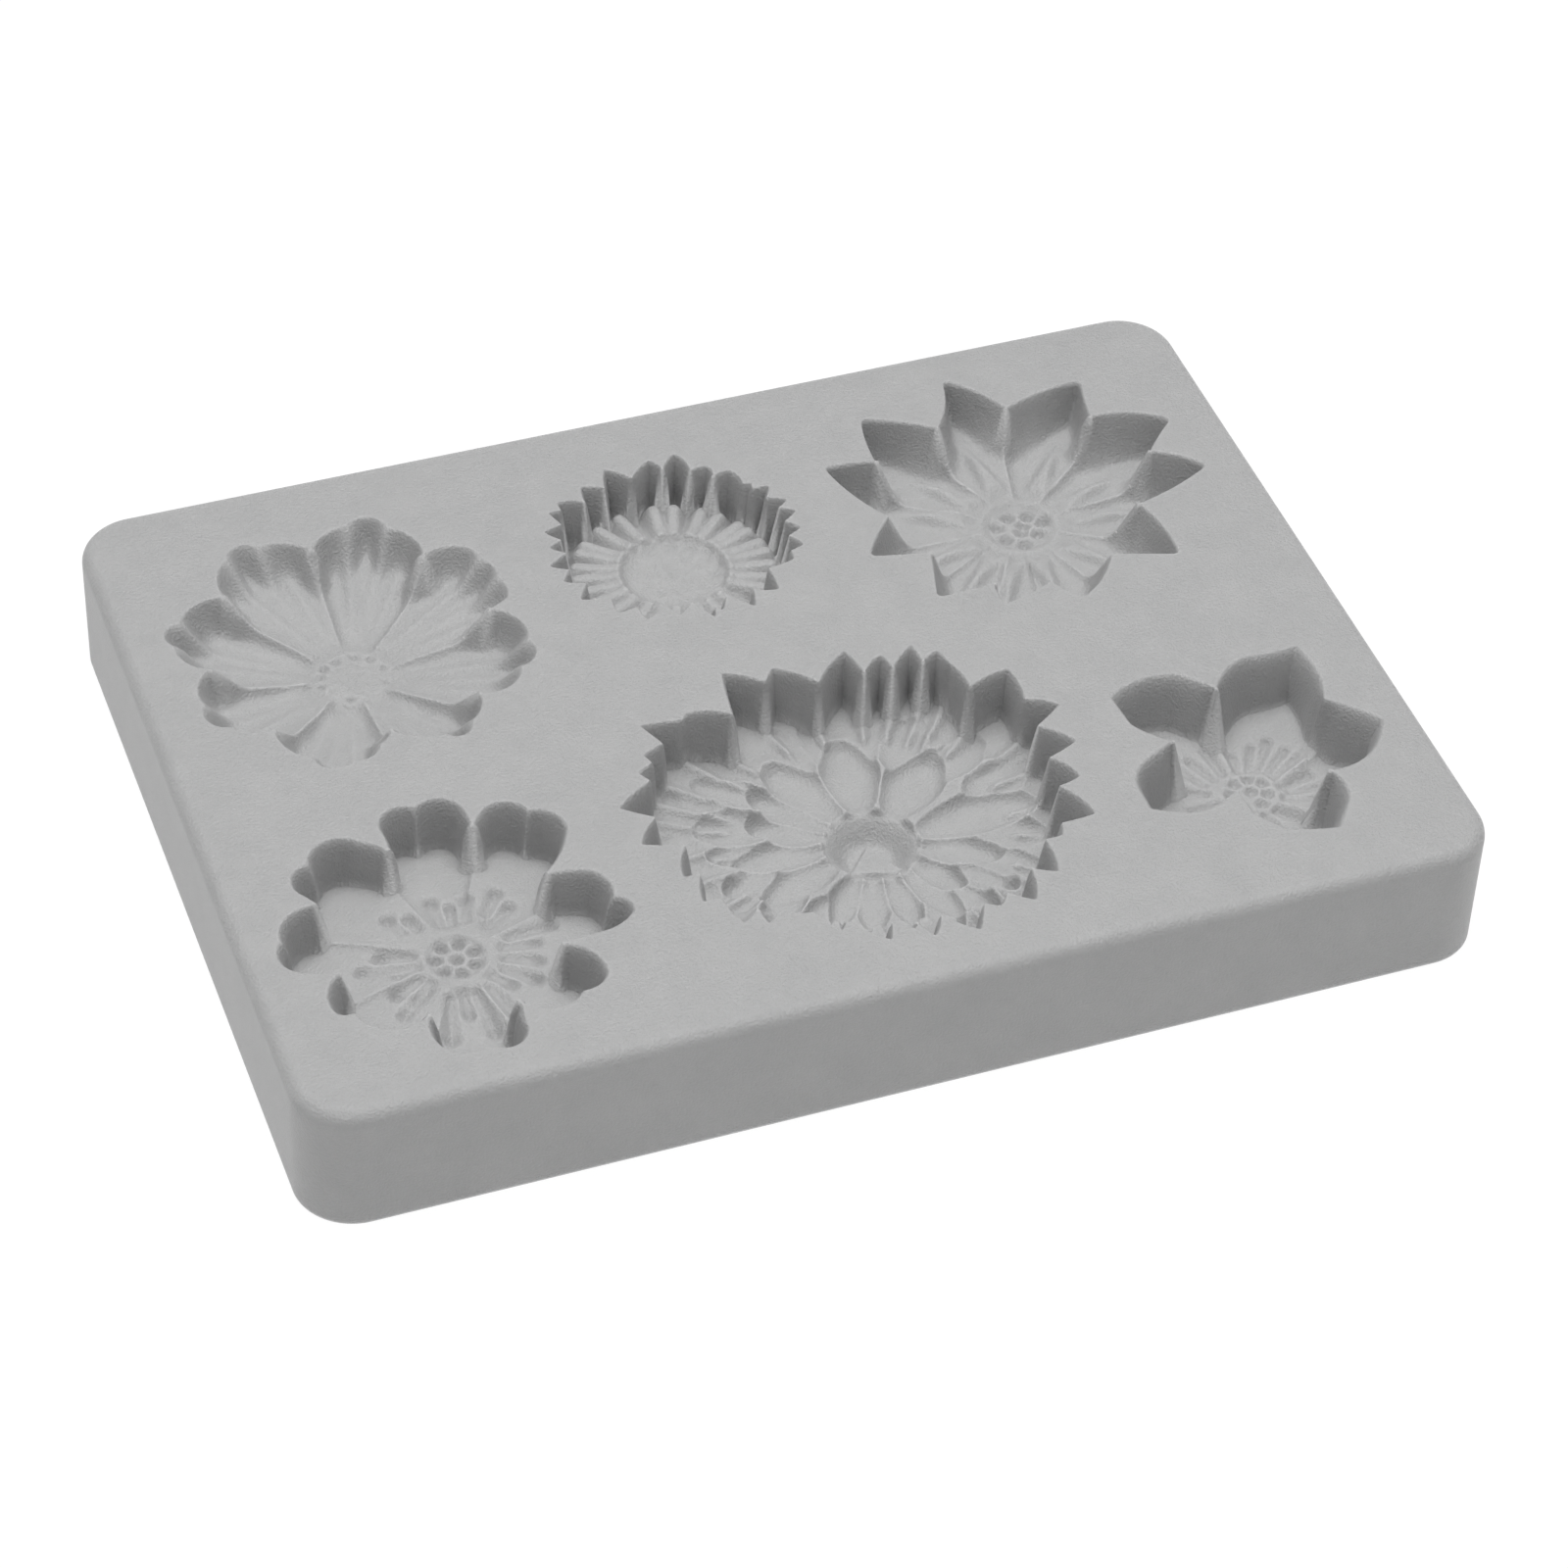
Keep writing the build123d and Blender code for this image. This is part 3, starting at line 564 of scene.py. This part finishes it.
def rim_loop(rim, softening, outset):
    """Closely spaced points along a rim outline, its corners softened, moved out a little."""
    points = []
    for (x0, y0, rise), (x1, y1, _) in zip(rim, rim[1:] + rim[:1]):
        half = 0.5 * math.hypot(x1 - x0, y1 - y0)
        along = np.array([x1 - x0, y1 - y0]) / (2.0 * half)
        outward = np.array([along[1], -along[0]])
        middle = np.array([x0 + x1, y0 + y1]) / 2.0
        count = max(2, math.ceil(2.0 * half / RIM_STEP))
        share = np.arange(count)[:, None] / count
        if rise == 0.0:
            points.append(middle + along * half * (2.0 * share - 1.0))
            continue
        turn = 2.0 * math.atan(rise / half)
        radius = half / math.sin(turn)
        swing = turn * (2.0 * share - 1.0)
        lift = radius * (np.cos(swing) - math.cos(turn))
        points.append(middle + along * radius * np.sin(swing) + outward * lift)
    loop = np.vstack(points)
    for _ in range(round(2.0 * (softening / RIM_STEP) ** 2)):
        loop = 0.5 * loop + 0.25 * (np.roll(loop, 1, axis=0) + np.roll(loop, -1, axis=0))
    return loop + outset * outward_normals(loop)


def outward_normals(loop):
    """Unit normals of a counter-clockwise loop."""
    tangent = np.roll(loop, -1, axis=0) - np.roll(loop, 1, axis=0)
    tangent /= np.hypot(*tangent.T)[:, None]
    return np.column_stack([tangent[:, 1], -tangent[:, 0]])


def rim_distance(points, loop):
    """How far each point is from a closed rim loop."""
    nearest = np.empty(len(points), int)
    batch = 20000
    for start in range(0, len(points), batch):
        part = points[start:start + batch]
        gap = (loop ** 2).sum(1)[None, :] - 2.0 * part @ loop.T
        nearest[start:start + batch] = gap.argmin(1)
    found = np.full(len(points), np.inf)
    for back in (-2, -1, 0, 1):
        a = loop[(nearest + back) % len(loop)]
        b = loop[(nearest + back + 1) % len(loop)]
        t = ((points - a) * (b - a)).sum(1) / ((b - a) ** 2).sum(1)
        foot = a + np.clip(t, 0.0, 1.0)[:, None] * (b - a)
        found = np.minimum(found, np.hypot(*(points - foot).T))
    return found


def inside(points, loop):
    """Which points lie within a closed loop."""
    crossings = np.zeros(len(points), int)
    x, y = points.T
    for (x0, y0), (x1, y1) in zip(loop, np.roll(loop, -1, axis=0)):
        spans = (y0 > y) != (y1 > y)
        at = x0 + (y[spans] - y0) * (x1 - x0) / (y1 - y0)
        crossings[spans] += x[spans] < at
    return crossings % 2 == 1


def inward_rows(loop, distances):
    """Points at set distances inside the rim, fanned out round the corners that point inward."""
    before = loop - np.roll(loop, 1, axis=0)
    after = np.roll(loop, -1, axis=0) - loop
    start = np.arctan2(before[:, 0], -before[:, 1])
    turn = (np.arctan2(after[:, 0], -after[:, 1]) - start + math.pi) % (2.0 * math.pi) - math.pi
    rows = []
    for distance in distances:
        fans = np.maximum(1, np.ceil(-turn * distance / FAN_STEP)).astype(int)
        for fan in np.unique(fans):
            chosen = fans == fan
            for step in range(fan):
                direction = start[chosen] + turn[chosen] * (step + 0.5) / fan
                shift = np.column_stack([np.cos(direction), np.sin(direction)])
                rows.append(loop[chosen] + distance * shift)
    points = np.vstack(rows)
    gap = rim_distance(points, loop)
    on_row = np.abs(gap[:, None] - np.array(distances)[None, :]).min(1) < ROW_TOLERANCE
    return points[on_row]


def lattice(loop, step):
    """Points of a triangular lattice that covers a loop's box."""
    lowest, highest = loop.min(0), loop.max(0)
    rows = np.arange(lowest[1], highest[1], step * math.sqrt(0.75))
    columns = np.arange(lowest[0], highest[0], step)
    x, y = np.meshgrid(columns, rows)
    x = x + 0.5 * step * (np.arange(len(rows)) % 2)[:, None]
    return np.column_stack([x.ravel(), y.ravel()])


def thinned(points, step):
    """Points with at most one in each cell of a grid."""
    _, first = np.unique(np.round(points / step).astype(int), axis=0, return_index=True)
    return points[np.sort(first)]


def beside_corners(points, places, length, width):
    """1 on lines that run toward the middle from some corners of a rim, fading to 0 beside them."""
    total = np.zeros(len(points))
    x, y = points.T
    for px, py in places:
        inward = 1.0 - length / math.hypot(px, py)
        gap = segment_distance(x, y, (px, py), (px * inward, py * inward))
        total = np.maximum(total, bump(gap, width))
    return total


def cavity(flower):
    """The rim loop of one flower, then the points inside it and the depth at each of them."""
    reach = flower.reach
    loop = rim_loop(flower.rim, flower.softening, LIP_OUTSET_SHARE * reach)
    distances = [reach * share for share in WALL_ROWS if reach * share < ROWS_WITHIN]
    rows = thinned(inward_rows(loop, distances), LEAST_GAP)
    rows = rows[inside(rows, loop)]
    grid = lattice(loop, FLOOR_STEP)
    grid = grid[inside(grid, loop)]
    grid = grid[rim_distance(grid, loop) > distances[-1] + 0.5 * FLOOR_STEP]
    points = np.vstack([rows, grid])
    notches = corners(flower.rim, inward=True)
    tips = corners(flower.rim, inward=False)
    length = reach * max(1.0, 1.0 + flower.lean)
    reaches = reach * (1.0 + flower.lean * beside_corners(points, notches, length, flower.lean_width))
    reaches *= 1.0 - flower.pinch * beside_corners(points, tips, reach, PINCH_WIDTH_SHARE * reach)
    share = np.clip(rim_distance(points, loop) / reaches, 0.0, 1.0)
    fallen = 1.0 - (1.0 - share ** flower.lip) ** flower.foot
    depth = flower.floor(points[:, 0], points[:, 1]) * fallen
    return loop + flower.middle, points + flower.middle, depth


# ---------------------------------------------------------------- the slab round the cavities

# Rows of points that keep the shading flat: inside the slab's top edge and at both ends of its
# sides, and just outside each rim.
EDGE_SHELF = 0.3
RIM_SHELF = 0.12
RIM_SHELF_LEAST = 0.10
TOP_EDGE_STEPS = 10
MERGE_DISTANCE = 1e-7


def rounded_rectangle(inset):
    """Corner-rounded outline of the slab, that far inside its sides."""
    radius = CORNER_RADIUS - inset
    corner_x = LENGTH / 2.0 - CORNER_RADIUS
    corner_y = WIDTH / 2.0 - CORNER_RADIUS
    points = []
    for quarter, (sx, sy) in enumerate(((1, 1), (-1, 1), (-1, -1), (1, -1))):
        angles = np.radians(90.0 * quarter + np.linspace(0.0, 90.0, 25))
        points.append(np.column_stack([sx * corner_x + radius * np.cos(angles),
                                       sy * corner_y + radius * np.sin(angles)]))
    return np.vstack(points)


def mould_mesh():
    """The whole mould as one closed surface."""
    outer = rounded_rectangle(TOP_EDGE_RADIUS)
    flat = [outer, rounded_rectangle(TOP_EDGE_RADIUS + EDGE_SHELF)]
    depths = [np.zeros(len(outer)), np.zeros(len(outer))]
    edges = [(i, (i + 1) % len(outer)) for i in range(len(outer))]
    count = 2 * len(outer)
    for flower in FLOWERS:
        loop, points, depth = cavity(flower)
        edges += [(count + i, count + (i + 1) % len(loop)) for i in range(len(loop))]
        shelf = loop + RIM_SHELF * outward_normals(loop)
        shelf = shelf[rim_distance(shelf, loop) > RIM_SHELF_LEAST]
        shelf = shelf[~inside(shelf, loop)]
        flat += [loop, points, shelf]
        depths += [np.zeros(len(loop)), depth, np.zeros(len(shelf))]
        count += len(loop) + len(points) + len(shelf)
    flat = np.vstack(flat)
    depths = np.concatenate(depths)
    vectors = [Vector(place) for place in flat]
    verts, _, faces, *_ = delaunay_2d_cdt(vectors, edges, [], 0, MERGE_DISTANCE, False)
    # Where a softened rim crosses itself at a thin notch, the crossing is a new point of the top face.
    places = np.array([tuple(v) for v in verts])
    if np.abs(places[:len(flat)] - flat).max() > 1e-4:
        raise ValueError("triangulation moved the points")
    top = np.column_stack([places, np.full(len(places), THICKNESS)])
    top[:len(flat), 2] -= depths
    triangles = np.array(faces)
    a, b, c = (top[triangles[:, k], :2] for k in range(3))
    flipped = np.cross(b - a, c - a) < 0.0
    triangles[flipped] = triangles[flipped][:, ::-1]

    rings = [np.arange(len(outer))]
    layers = [top]
    count = len(top)
    for step in range(1, TOP_EDGE_STEPS + 1):
        swing = math.radians(90.0 / TOP_EDGE_STEPS * step)
        inset = TOP_EDGE_RADIUS * (1.0 - math.sin(swing))
        drop = TOP_EDGE_RADIUS * (1.0 - math.cos(swing))
        layers.append(np.column_stack([rounded_rectangle(inset),
                                       np.full(len(outer), THICKNESS - drop)]))
    for height in (THICKNESS - TOP_EDGE_RADIUS - EDGE_SHELF, EDGE_SHELF, 0.0):
        layers.append(np.column_stack([rounded_rectangle(0.0), np.full(len(outer), height)]))
    for layer in layers[1:]:
        rings.append(np.arange(count, count + len(outer)))
        count += len(layer)
    quads = []
    for upper, lower in zip(rings, rings[1:]):
        quads.append(np.column_stack([upper, lower, np.roll(lower, -1), np.roll(upper, -1)]))
    quads = np.vstack(quads)
    return np.vstack(layers), triangles, quads, rings[-1]


def build_mould():
    """The mould as one object, smooth but for the crisp edge round its underside."""
    places, triangles, quads, foot = mould_mesh()
    mesh = bpy.data.meshes.new("silicone_mould")
    corners = np.concatenate([triangles.ravel(), quads.ravel(), foot[::-1]])
    sizes = np.concatenate([np.full(len(triangles), 3), np.full(len(quads), 4), [len(foot)]])
    mesh.vertices.add(len(places))
    mesh.vertices.foreach_set("co", (places * MM).astype(np.float32).ravel())
    mesh.loops.add(len(corners))
    mesh.loops.foreach_set("vertex_index", corners.astype(np.int32))
    mesh.polygons.add(len(sizes))
    starts = np.concatenate([[0], np.cumsum(sizes)[:-1]])
    mesh.polygons.foreach_set("loop_start", starts.astype(np.int32))
    mesh.update(calc_edges=True)
    mesh.validate()
    mesh.shade_smooth()
    ends = np.empty(2 * len(mesh.edges), np.int32)
    mesh.edges.foreach_get("vertices", ends)
    underside = (ends.reshape(-1, 2) >= foot[0]).all(1)
    sharp = mesh.attributes.new("sharp_edge", "BOOLEAN", "EDGE")
    sharp.data.foreach_set("value", underside)
    piece = bpy.data.objects.new("silicone_mould", mesh)
    bpy.context.scene.collection.objects.link(piece)
    return piece


# ---------------------------------------------------------------- materials

WHITE = (1.0, 1.0, 1.0, 1.0)
DARKER_GREY = (0.395, 0.396, 0.398, 1.0)
LIGHTER_GREY = (0.425, 0.425, 0.426, 1.0)


def silicone_material():
    """Matt grey silicone, slightly translucent: very fine grain with faint broad unevenness."""
    material = bpy.data.materials.new("silicone")
    material.use_nodes = True
    nodes, links = material.node_tree.nodes, material.node_tree.links
    shader = nodes["Principled BSDF"]
    shader.inputs["Roughness"].default_value = 0.4
    shader.inputs["Specular IOR Level"].default_value = 0.42
    shader.inputs["Subsurface Weight"].default_value = 0.6
    shader.inputs["Subsurface Radius"].default_value = (1.0, 1.0, 1.0)
    shader.inputs["Subsurface Scale"].default_value = 0.001
    place = nodes.new("ShaderNodeTexCoord")
    mottle = nodes.new("ShaderNodeTexNoise")
    mottle.inputs["Scale"].default_value = 260.0
    mottle.inputs["Detail"].default_value = 6.0
    mottle.inputs["Roughness"].default_value = 0.65
    tint = nodes.new("ShaderNodeValToRGB")
    tint.color_ramp.elements[0].position = 0.3
    tint.color_ramp.elements[0].color = DARKER_GREY
    tint.color_ramp.elements[1].position = 0.7
    tint.color_ramp.elements[1].color = LIGHTER_GREY
    grain = nodes.new("ShaderNodeTexNoise")
    grain.inputs["Scale"].default_value = 4200.0
    grain.inputs["Detail"].default_value = 4.0
    relief = nodes.new("ShaderNodeBump")
    relief.inputs["Strength"].default_value = 0.6
    relief.inputs["Distance"].default_value = 0.0003
    links.new(place.outputs["Object"], mottle.inputs["Vector"])
    links.new(place.outputs["Object"], grain.inputs["Vector"])
    links.new(mottle.outputs["Fac"], tint.inputs["Fac"])
    links.new(tint.outputs["Color"], shader.inputs["Base Color"])
    links.new(grain.outputs["Fac"], relief.inputs["Height"])
    links.new(relief.outputs["Normal"], shader.inputs["Normal"])
    return material


def floor_material():
    """Bright plain table top of a white studio."""
    material = bpy.data.materials.new("studio_floor")
    material.use_nodes = True
    shader = material.node_tree.nodes["Principled BSDF"]
    shader.inputs["Base Color"].default_value = (0.1, 0.1, 0.1, 1.0)
    shader.inputs["Roughness"].default_value = 0.8
    shader.inputs["Specular IOR Level"].default_value = 0.1
    shader.inputs["Emission Color"].default_value = WHITE
    shader.inputs["Emission Strength"].default_value = 0.93
    return material


# ---------------------------------------------------------------- floor, light and camera

# In metres and watts. The small light overhead gives the rims their highlight, and the wide one
# the soft shade inside the cavities.
FLOOR_HALF_WIDTH = 1.5
LIGHT_HEIGHT = 0.70
OVERHEAD_BACK = 0.03
OVERHEAD_SIZE = 0.5
OVERHEAD_POWER = 3.95
CANOPY_SIZE = 1.6
CANOPY_POWER = 4.2
WORLD_STRENGTH = 0.15


def build_floor():
    """Plain square floor under the mould."""
    half = FLOOR_HALF_WIDTH
    mesh = bpy.data.meshes.new("studio_floor")
    mesh.from_pydata([(-half, -half, 0), (half, -half, 0), (half, half, 0), (-half, half, 0)],
                     [], [(0, 1, 2, 3)])
    floor = bpy.data.objects.new("studio_floor", mesh)
    bpy.context.scene.collection.objects.link(floor)
    mesh.materials.append(floor_material())
    return floor


def area_light(name, place, size, power):
    """Square lamp that faces the frame's origin."""
    light = bpy.data.lights.new(name, "AREA")
    light.shape = "SQUARE"
    light.size = size
    light.energy = power
    lamp = bpy.data.objects.new(name, light)
    bpy.context.scene.collection.objects.link(lamp)
    lamp.location = place
    lamp.rotation_euler = (-Vector(place)).to_track_quat("-Z", "Y").to_euler()


def build_lights():
    """Two lamps above the mould and a weak even light from all round."""
    area_light("overhead", (0.0, OVERHEAD_BACK, LIGHT_HEIGHT), OVERHEAD_SIZE, OVERHEAD_POWER)
    area_light("canopy", (0.0, 0.0, LIGHT_HEIGHT), CANOPY_SIZE, CANOPY_POWER)
    world = bpy.data.worlds.new("studio")
    world.use_nodes = True
    background = world.node_tree.nodes["Background"]
    background.inputs["Color"].default_value = WHITE
    background.inputs["Strength"].default_value = WORLD_STRENGTH
    bpy.context.scene.world = world
    bpy.context.scene.view_settings.view_transform = "Standard"


# The photograph's viewpoint: place in millimetres, angles in degrees, lens and sensor as in Blender.
CAMERA_PLACE = (-120.51, -311.49, 315.90)
CAMERA_BEARING = -21.475
CAMERA_TILT = 46.61
CAMERA_ROLL = 2.49
CAMERA_LENS = 113.76
CAMERA_SENSOR = 36.0


def build_camera():
    """Camera at the photograph's viewpoint."""
    data = bpy.data.cameras.new("camera")
    data.lens = CAMERA_LENS
    data.sensor_width = CAMERA_SENSOR
    data.clip_start = 0.01
    data.clip_end = 10.0
    camera = bpy.data.objects.new("camera", data)
    bpy.context.scene.collection.objects.link(camera)
    turn = Matrix.Rotation(math.radians(CAMERA_BEARING), 4, "Z")
    tilt = Matrix.Rotation(math.radians(CAMERA_TILT), 4, "X")
    roll = Matrix.Rotation(math.radians(CAMERA_ROLL), 4, "Z")
    camera.matrix_world = Matrix.Translation(Vector(CAMERA_PLACE) * MM) @ turn @ tilt @ roll
    bpy.context.scene.camera = camera


build_camera()
build_lights()
build_floor()
mould = build_mould()
mould.data.materials.append(silicone_material())
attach(mould, "root")
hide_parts("mould_body")
